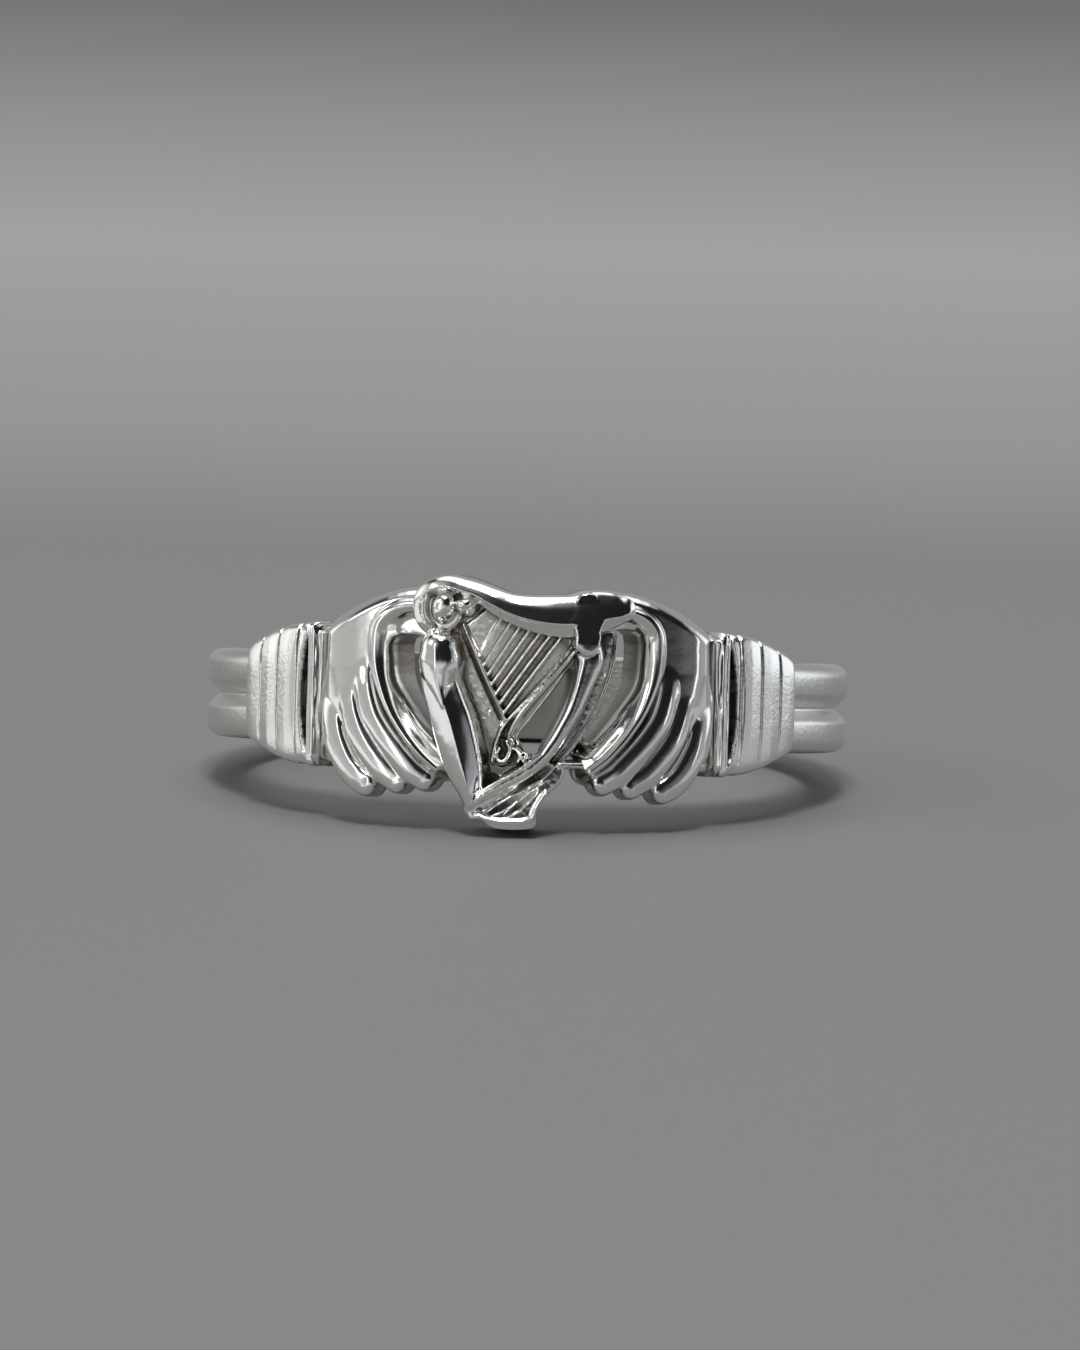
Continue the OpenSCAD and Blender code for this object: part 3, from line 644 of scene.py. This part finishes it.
BARS = [      # two bars between the strings and the opening
    [(0.55, 0.53, 0.026, 0.46), (0.24, 0.17, 0.026, 0.48), (-0.06, -0.14, 0.026, 0.46),
     (-0.15, -0.30, 0.024, 0.42), (-0.19, -0.46, 0.022, 0.36)],
    [(0.57, 0.53, 0.026, 0.56), (0.45, 0.34, 0.034, 0.60), (0.07, -0.06, 0.034, 0.60),
     (-0.04, -0.24, 0.028, 0.52)]]
STRING_TOPS = ((-0.13, 0.67), (0.38, 0.52))        # of the first and the last string
STRING_FEET = ((-0.31, 0.38), (-0.09, -0.07))
STRINGS, STRING_W, STRING_RISE, FEET_RISE = 7, 0.0235, 0.70, 0.68
CURLS = [      # at the foot of the strings
    [(-0.06, -0.30, 0.03, 0.45), (-0.03, -0.36, 0.03, 0.5), (-0.06, -0.44, 0.035, 0.5),
     (-0.12, -0.46, 0.03, 0.45), (-0.15, -0.40, 0.025, 0.4), (-0.12, -0.36, 0.02, 0.4)],
    [(0.02, -0.36, 0.025, 0.4), (0.06, -0.41, 0.03, 0.5), (0.04, -0.46, 0.025, 0.4)],
    [(0.10, -0.37, 0.025, 0.4), (0.12, -0.41, 0.03, 0.5), (0.09, -0.45, 0.025, 0.4)]]
GRAINED = [      # parts left as cast: beside the string ridge, round the curls, the drapery
    [(-0.52, 0.26), (-0.38, 0.02), (-0.26, -0.26), (-0.22, -0.49), (-0.20, -0.36), (-0.11, -0.17),
     (-0.19, 0.08), (-0.31, 0.31), (-0.49, 0.61), (-0.56, 0.49)],
    [(-0.12, -0.28), (0.14, -0.34), (0.14, -0.50), (-0.20, -0.52)],
    [(0.88, 0.58), (0.88, 0.39), (0.83, 0.2), (0.73, -0.05), (0.55, -0.32), (0.62, -0.1),
     (0.72, 0.2)]]
GRAIN_EDGE, GRAIN_HEIGHT, GRAIN_SEED = 0.08, 0.011, 7
COVER = 0.1            # a form this far above the ground hides the cast surface
TRIANGLE = [      # the opening between the strings and the pillar
    (0.51, 0.30), (0.515, 0.21), (0.485, 0.09), (0.40, -0.10), (0.28, -0.29), (0.20, -0.405),
    (0.03, -0.285), (0.13, -0.15), (0.35, 0.11), (0.49, 0.29)]
HARP_ARC, HARP_HEIGHT, HARP_GROUND = (-3.6, 3.8), (-4.05, 4.05), PANEL - 0.4
PAST = 0.1             # a panel's level runs this far past its outline
EDGE_BASE = PANEL - 0.2
HARP_EDGE, OPENING_EDGE, FOOT_JOIN, WEB_JOIN = 0.12, 0.04, 0.05, 0.03

harp = Relief(HARP_ARC, HARP_HEIGHT, HARP_VOXEL / 2, HARP_GROUND)
panel = harp.polygon(PANEL_EDGE, HARP)
harp.side = np.minimum(harp.side, panel)
harp.top = np.where(panel < PAST, PANEL + PANEL_SLOPE * harp.V, harp.top)
string_panel = harp.polygon(STRING_PANEL, HARP, 0)
harp.top += STRING_LIFT * np.clip(0.5 - string_panel / STRING_EDGE, 0, 1)
foot = harp.polygon(FOOT, HARP, 3)
harp.side = smin(harp.side, foot, FOOT_JOIN)
harp.top = np.where(foot < PAST, FOOT_TOP + FOOT_SLOPE * harp.V, harp.top)
drape_web = harp.polygon(DRAPE_WEB, HARP, 3)
harp.top = np.where(drape_web < PAST / 2, WEB_TOP, harp.top)
harp.groove(POOL, HARP, POOL_DEPTH)
for rows in GRAINED:
    cast = np.clip(-harp.polygon(rows, HARP, 0) / GRAIN_EDGE, 0, 1)
    harp.grain = np.maximum(harp.grain, cast)
harp.grain = np.maximum(harp.grain, STRING_SATIN * (string_panel < 0))
ground = harp.top.copy()
for rows in BARS:
    harp.ridge(rows, HARP, PANEL, CREST, SHARP, soft=0.02)
for k in range(STRINGS):
    x = k / (STRINGS - 1)
    top = [a * (1 - x) + b * x for a, b in zip(*STRING_TOPS)]
    end = [a * (1 - x) + b * x for a, b in zip(*STRING_FEET)]
    rows = [(*top, STRING_W, STRING_RISE), (*end, STRING_W, STRING_RISE * FEET_RISE)]
    harp.ridge(rows, HARP, PANEL, CREST, ROUND, soft=0.02, steps=1)
harp.groove(RIDGE_STEP, HARP, STEP_DEPTH)
harp.ridge(STRING_RIDGE, HARP, PANEL, CREST, SHARP, soft=0.02)
harp.grain *= np.clip(1.5 - (harp.top - ground) / COVER, 0, 1)
for rows in CURLS:
    harp.ridge(rows, HARP, PANEL, CREST, ROUND, soft=0.03)
harp.ridge(DRAPE, HARP, EDGE_BASE, CREST, SHARP, soft=0.04, outline=True)
for rows in FOLDS:
    harp.groove(rows, HARP, FOLD_DEPTH)
harp.ridge(FOOT_RIM, HARP, PANEL, CREST, ROUND, soft=0.08)
harp.ridge(PILLAR, HARP, PANEL, CREST, FLAT, soft=0.05, outline=True)
harp.ridge(HEM, HARP, EDGE_BASE, CREST, FLAT, soft=0.03, outline=True)
harp.ridge(SOUNDBOX, HARP, PANEL, CREST, BOX_RIGHT, BOX_LEFT, soft=0.05, outline=True)
harp.ridge(SHOULDER, HARP, PANEL, CREST, SHOULDER_SIDE, soft=0.08)
harp.boss(SCROLL_AT, SCROLL_R, 0, PANEL, CREST, SCROLL, HARP, outline=True)
harp.ridge(VOLUTE, HARP, PANEL, CREST, ROUND, soft=0.03)
harp.ridge(NECK, HARP, PANEL, CREST, NECK_UP, NECK_DOWN, soft=0.04, outline=True)
harp.ridge(JOINT, HARP, PANEL, CREST, JOINT_SIDE, soft=0.05)
harp.boss(EYE_AT, EYE_R, EYE_TURN, PANEL, CREST, EYE, HARP, soft=0.03)
covered = np.clip((harp.top - ground) / COVER - 1, 0, 1) * (foot > 0)
harp.grain = np.maximum(harp.grain * (1 - covered), FOOT_SATIN * (foot < 0))
rng = np.random.default_rng(GRAIN_SEED)
speckle = blur(rng.normal(size=harp.top.shape), 1)
harp.top += harp.grain * GRAIN_HEIGHT * speckle / speckle.std()
harp.boss(BALL_AT, BALL_R, 0, BALL_BASE, BALL_CREST, BALL, HARP, soft=0.02)
harp.side = smin(harp.side, drape_web, WEB_JOIN)
harp.side = smax(harp.side, -harp.polygon(TRIANGLE, HARP, 3), OPENING_EDGE)
solid("harp", harp, HARP_EDGE)

# Hands, both from one set of tables, as the harp's but with shares of HAND. BODY gives, by arc,
# the height of the back of the hand above the hole
PALM = [(0.37, 1.05), (0.50, 1.105), (0.65, 1.06), (0.79, 0.96), (0.90, 0.85), (0.975, 0.75),
        (1.0, 0.66), (1.005, 0.0), (1.0, -0.48), (0.93, -0.60), (0.78, -0.70), (0.56, -0.66),
        (0.35, -0.55), (0.23, -0.35), (0.28, 0.3)]
BODY = [(0.2, 1.58), (0.5, 1.66), (0.62, 1.74), (0.70, 1.82), (0.78, 1.90), (0.85, 1.93),
        (0.91, 1.89), (0.97, 1.79), (1.03, 1.67)]
BODY_SKEW, SKEW_END = 0.25, 1.0
KNUCKLE, FINGER_WAY = (0.83, 0.11), (-0.56, -0.83)      # where the fingers begin, and their way
FINGER_FALL, TIP_FALL, FALL_LENGTH = 0.40, 0.12, 2.4
RIM_LOW, RIM_SLOPE, RIM_ROUND = 1.45, 1.5, 0.3
VALLEY = [      # the hollow inside the index finger, down to the opening
    (0.59, 0.56, 0.16, 0.5), (0.60, 0.46, 0.20, 1.0), (0.605, 0.30, 0.22, 1.0),
    (0.585, 0.10, 0.20, 1.0), (0.52, -0.10, 0.18, 1.0), (0.44, -0.29, 0.16, 1.0),
    (0.35, -0.45, 0.14, 0.9)]
VALLEY_DEPTH = 0.55
INDEX = [
    (0.40, 0.93, 0.12, 0.62), (0.54, 0.915, 0.16, 0.80), (0.62, 0.84, 0.20, 0.95),
    (0.665, 0.72, 0.23, 1.00), (0.675, 0.55, 0.235, 1.00), (0.67, 0.36, 0.22, 1.00),
    (0.645, 0.16, 0.19, 1.00), (0.60, -0.07, 0.16, 0.98), (0.54, -0.27, 0.145, 0.95),
    (0.485, -0.415, 0.14, 0.92), (0.43, -0.54, 0.14, 0.86), (0.365, -0.65, 0.135, 0.76)]
# Sections of the index finger: away from the harp, towards it
OUTER = [(0, 1), (0.12, 0.97), (0.25, 0.82), (0.36, 0.55), (0.5, 0.2), (1, -0.6)]
INNER = [(0, 1), (0.14, 0.97), (0.35, 0.80), (0.6, 0.45), (0.8, 0.22), (1, 0.1)]
MIDDLE = [
    (0.765, 0.42, 0.12, 0.45), (0.745, 0.15, 0.13, 0.78), (0.705, -0.12, 0.135, 0.88),
    (0.655, -0.29, 0.135, 0.89), (0.597, -0.44, 0.138, 0.88), (0.54, -0.575, 0.14, 0.84),
    (0.485, -0.69, 0.138, 0.78), (0.43, -0.76, 0.13, 0.68)]
RING = [
    (0.855, 0.25, 0.12, 0.45), (0.832, 0.0, 0.13, 0.76), (0.79, -0.25, 0.135, 0.86),
    (0.745, -0.42, 0.14, 0.87), (0.69, -0.57, 0.142, 0.83), (0.63, -0.70, 0.142, 0.77),
    (0.57, -0.785, 0.135, 0.67)]
PINKY = [
    (0.935, 0.10, 0.12, 0.40), (0.925, -0.12, 0.13, 0.66), (0.91, -0.30, 0.14, 0.76),
    (0.885, -0.46, 0.15, 0.79), (0.84, -0.63, 0.152, 0.77), (0.785, -0.755, 0.15, 0.71),
    (0.735, -0.82, 0.14, 0.63)]
FINGER_OUT = [(0, 1), (0.35, 0.975), (0.6, 0.90), (0.8, 0.76), (0.93, 0.55), (1, 0.3)]
FINGER_IN = [(0, 1), (0.45, 0.955), (0.72, 0.84), (0.88, 0.62), (1, 0.3)]
FINGER_BASE, INDEX_TOP = 1.5, FINGER + 0.05
TIP_LIFT, TIPS_FROM, TIPS_LONG = 1.0, -1.7, 1.1         # how far the ends of the fingers lift
THUMB_TIP = [(0.575, 0.66, 0.05, 0.5), (0.53, 0.64, 0.075, 0.6), (0.47, 0.60, 0.08, 0.6)]
THUMB_BASE, GAP_BASE = WEB - 0.3, WEB - 0.2
GAP_RIM = [(0.63, 0.62, 0.028, 0.40), (0.622, 0.40, 0.03, 0.45), (0.605, 0.19, 0.03, 0.46),
           (0.545, -0.02, 0.03, 0.46), (0.475, -0.21, 0.03, 0.46), (0.40, -0.37, 0.03, 0.45)]
GAP = [(0.60, 0.60), (0.607, 0.40), (0.59, 0.19), (0.53, -0.02), (0.46, -0.20), (0.375, -0.37),
       (0.33, -0.25), (0.36, 0.05), (0.39, 0.30), (0.42, 0.55), (0.5, 0.64)]
GAP_HIGH = 0.5         # above this height the opening is stretched, on the right side only
GAP_TOP = {1: 1.15, -1: 1.0}
HAND_ARC, HAND_HEIGHT = (1.0, 6.7), (-3.25, 3.65)
HAND_EDGE, GAP_EDGE = 0.16, 0.03
TUCK, TUCK_LIFT = 0.3, 0.05      # how far a hand runs in under the harp, its lift there


def smooth(x):
    """From 0 to 1, level at both ends."""
    x = np.clip(x, 0, 1)
    return x * x * (3 - 2 * x)


def hand(name, way):
    """The hand on one side of the harp: way is 1 on the right and -1 on the left."""
    patch = Relief(HAND_ARC, HAND_HEIGHT, HAND_VOXEL / 2, 0)
    U, V = patch.U, patch.V
    patch.side = patch.polygon(PALM, HAND, 3)
    rows = spline(BODY, 5)
    body = np.interp(U - BODY_SKEW * np.minimum(V, SKEW_END), rows[:, 0] * HAND[0], rows[:, 1])
    past = (U - KNUCKLE[0] * HAND[0]) * FINGER_WAY[0] + (V - KNUCKLE[1] * HAND[1]) * FINGER_WAY[1]
    past = past / FALL_LENGTH
    body = body - FINGER_FALL * smooth(past) - TIP_FALL * smooth(past - 1)
    rim = smin(body, RIM_LOW - RIM_SLOPE * patch.side, RIM_ROUND)
    upper = smooth(V / HAND[1] * 2)
    patch.top = body * (1 - upper) + rim * upper
    patch.groove(VALLEY, HAND, VALLEY_DEPTH)
    if way < 0:
        patch.ridge(THUMB_TIP, HAND, THUMB_BASE, FINGER, ROUND, soft=0.05)
    for rows in (PINKY, RING, MIDDLE):
        patch.ridge(rows, HAND, FINGER_BASE, FINGER, FINGER_OUT, FINGER_IN, soft=0.06,
                    outline=True)
    patch.ridge(INDEX, HAND, FINGER_BASE, INDEX_TOP, OUTER, INNER, soft=0.08, outline=True)
    patch.ridge(GAP_RIM, HAND, GAP_BASE, FINGER, ROUND, soft=0.03)
    rim = smin(patch.top, RIM_LOW - RIM_SLOPE * patch.side, RIM_ROUND)
    patch.top = patch.top * (1 - upper) + rim * upper
    gap = patch.polygon([(u, v * GAP_TOP[way] if v > GAP_HIGH else v) for u, v in GAP], HAND, 3)
    patch.side = smax(patch.side, -gap, GAP_EDGE)
    hidden = harp.sample(harp.side, way * U.ravel(), V.ravel()).reshape(U.shape)
    patch.side = np.maximum(patch.side, -hidden - TUCK)
    tips = TIP_LIFT * smooth((TIPS_FROM - V) / TIPS_LONG)
    patch.under = np.maximum(np.where(hidden < 0, TUCK_LIFT, 0), tips)
    if way < 0:
        mirror(patch)
    solid(name, patch, HAND_EDGE)


def mirror(patch):
    """The same relief on the other side of the harp."""
    patch.u = -patch.u[::-1]
    patch.U = -patch.U[::-1]
    for key in ("top", "side", "under", "grain", "V"):
        setattr(patch, key, getattr(patch, key)[::-1])


hand("right_hand", 1)
hand("left_hand", -1)

# Cuffs: three bands, a narrow neck and a frill at the wrist, all in millimetres
CUFF_U, BANDS, BAND = 7.5, 3, 0.86
CUFF_END = CUFF_U + BANDS * BAND
CUFF_TOP, CUFF_LIFT = 1.72, 0.1
CUFF_NEAR, CUFF_FAR, CUFF_CURVE = 2.15, 1.42, 1.5       # half width at its two ends, its curve
SEAM_DEPTH, SEAM_W = 0.07, 0.03
CUFF_CROWN, BAND_CROWN, CUFF_EDGE, CUFF_CORNER = 0.14, 0.03, 0.26, 0.1
CUFF_PAST, SATIN_PAST = 0.05, 0.1      # its level and its satin run this far past its outline
MOUTH = 0.28           # how far the middle of the cuff's near edge stands back from its corners
FRILL_U, FRILL_W, FRILL_LINE = (6.75, 7.2), 0.15, 0.012
FRILL_HALF, FRILL_TOP, FRILL_PAST = 2.2, 1.62, 0.06
FRILL_EDGE, FRILL_SLOPE = 0.1, 1.5
WOBBLES = ((0.02, 2.3, 0), (0.012, 5.1, 1))      # of the frill's lines: height, turns, phase
WRIST, NECK_TOP, NECK_SHARE, NECK_UNDER = 6.25, 1.15, 0.95, 0.2
CUFF_JOIN = 0.04
OVERLAP, HAND_OVERLAP, OVERLAP_LIFT = 0.25, 0.05, 0.03      # where it meets shank and hand
SHORT = 0.001          # keeps the last band from beginning a fourth
CUFF_ARC, CUFF_HEIGHT = (6.2, 10.3), (-2.6, 2.7)
CUFF_SATIN = 0.35


def cuff(name, way):
    """The cuff on one side: way is 1 on the right and -1 on the left."""
    patch = Relief(CUFF_ARC, CUFF_HEIGHT, CUFF_VOXEL / 2, NECK_TOP)
    U, V = patch.U, patch.V - CUFF_LIFT
    along = np.clip((U - CUFF_U) / (BANDS * BAND), 0, 1)
    half = CUFF_NEAR + (CUFF_FAR - CUFF_NEAR) * along ** CUFF_CURVE
    near_edge = CUFF_U - MOUTH * np.clip((V / CUFF_NEAR) ** 2, 0, 1)
    cuff_side = smax(np.abs(V) - half, np.maximum(near_edge - U, U - CUFF_END), CUFF_CORNER)
    neck_ends = np.maximum(WRIST - U, U - CUFF_U - NECK_UNDER)
    neck_side = np.maximum(np.abs(V) - FRILL_HALF * NECK_SHARE, neck_ends)
    frill = np.maximum(FRILL_U[0] - U, U - FRILL_U[1])
    frill_side = np.maximum(frill, np.abs(V) - FRILL_HALF)
    patch.side = smin(smin(cuff_side, neck_side, CUFF_JOIN), frill_side, CUFF_JOIN)
    place = np.clip((U - CUFF_U) / BAND, 0, BANDS - SHORT) % 1
    seam = np.minimum(place, 1 - place) * BAND
    dome = CUFF_TOP - CUFF_CROWN * (V / half) ** 4 - SEAM_DEPTH * np.exp(-(seam / SEAM_W) ** 2)
    dome = dome + BAND_CROWN * np.clip(seam / BAND * 2, 0, 1)
    patch.top = np.where(cuff_side < CUFF_PAST, dome, patch.top)
    wobble = sum(size * np.sin(V * turns + phase) for size, turns, phase in WOBBLES)
    lines = FRILL_LINE * np.cos((U + wobble) / FRILL_W * 2 * math.pi)
    frill_top = FRILL_TOP + lines - np.maximum(frill + FRILL_EDGE, 0) * FRILL_SLOPE
    patch.top = smax(patch.top, np.where(frill < FRILL_PAST, frill_top, 0), CUFF_JOIN)
    covered_end = (U > CUFF_END - OVERLAP) | (U < HAND[0] + HAND_OVERLAP)
    patch.under = np.where(covered_end, OVERLAP_LIFT, 0)
    patch.grain += np.where(cuff_side < SATIN_PAST, CUFF_SATIN, 0)
    if way < 0:
        mirror(patch)
    solid(name, patch, CUFF_EDGE)


cuff("right_cuff", 1)
cuff("left_cuff", -1)

# Shank: a band with two rounded ribs and a V groove between them, in millimetres
BAND_WALL, RIB_ROUND, GROOVE, GROOVE_W = 1.4, 0.4, 0.30, 0.8
RIB_CROWN, CROWN_AT = 0.09, 1.1
INSIDE = (0.955, 0.9, 0.45, 0, -0.45, -0.9, -0.955)      # points across the inner face
BEVEL, INSIDE_BELOW = 0.06, 0.1
POINTS_ACROSS, STATIONS = 61, 320
# SHANK_TONE tarnishes the whole shank a little; the inside of the band is painted darker still,
# as shade
SHANK_SATIN, SHANK_TONE, INSIDE_SHADE = 0.6, 0.5, 0.85


def shank():
    """The band from under one cuff round the back to under the other."""
    half = BAND_W / 2
    v = np.linspace(-1, 1, POINTS_ACROSS)
    width = half * np.sin(v * math.pi / 2)
    edge = np.maximum(np.abs(width) - (half - RIB_ROUND), 0)
    height = BAND_WALL - RIB_ROUND + np.sqrt(np.maximum(RIB_ROUND ** 2 - edge ** 2, 0))
    cut = GROOVE * np.clip(1 - np.abs(width) / (GROOVE_W / 2), 0, 1)
    cut = cut + RIB_CROWN * (2 * np.abs(width) / half - CROWN_AT) ** 2
    height = height - cut
    inside = [(half * w, 0) for w in INSIDE]
    profile = np.array([*zip(width, height), (half, BEVEL), *inside, (-half, BEVEL)])
    start = CUFF_END - OVERLAP
    whole = 2 * math.pi * ARC_R
    stations = np.linspace(start, whole - start, STATIONS)
    n = len(profile)
    points = np.concatenate([np.column_stack([np.full(n, s), profile]) for s in stations])
    quads = []
    for i in range(STATIONS - 1):
        for j in range(n):
            k = (j + 1) % n
            quads.append((i * n + j, i * n + k, (i + 1) * n + k, (i + 1) * n + j))
    for i in (0, STATIONS - 1):      # the two ends
        for j in range(n // 2 - 1):
            quads.append((i * n + j, i * n + j + 1, i * n + n - 2 - j, i * n + n - 1 - j))
    # The inner face of the band: painted shade, and left satin
    inner_face = np.where(points[:, 2] < INSIDE_BELOW, 1.0, 0.0)
    masks = {"tarnish_and_shade": np.maximum(INSIDE_SHADE * inner_face, SHANK_TONE),
             "grain": np.maximum(inner_face, SHANK_SATIN)}
    mesh_piece("shank", wrap(points), np.array(quads), masks)


shank()
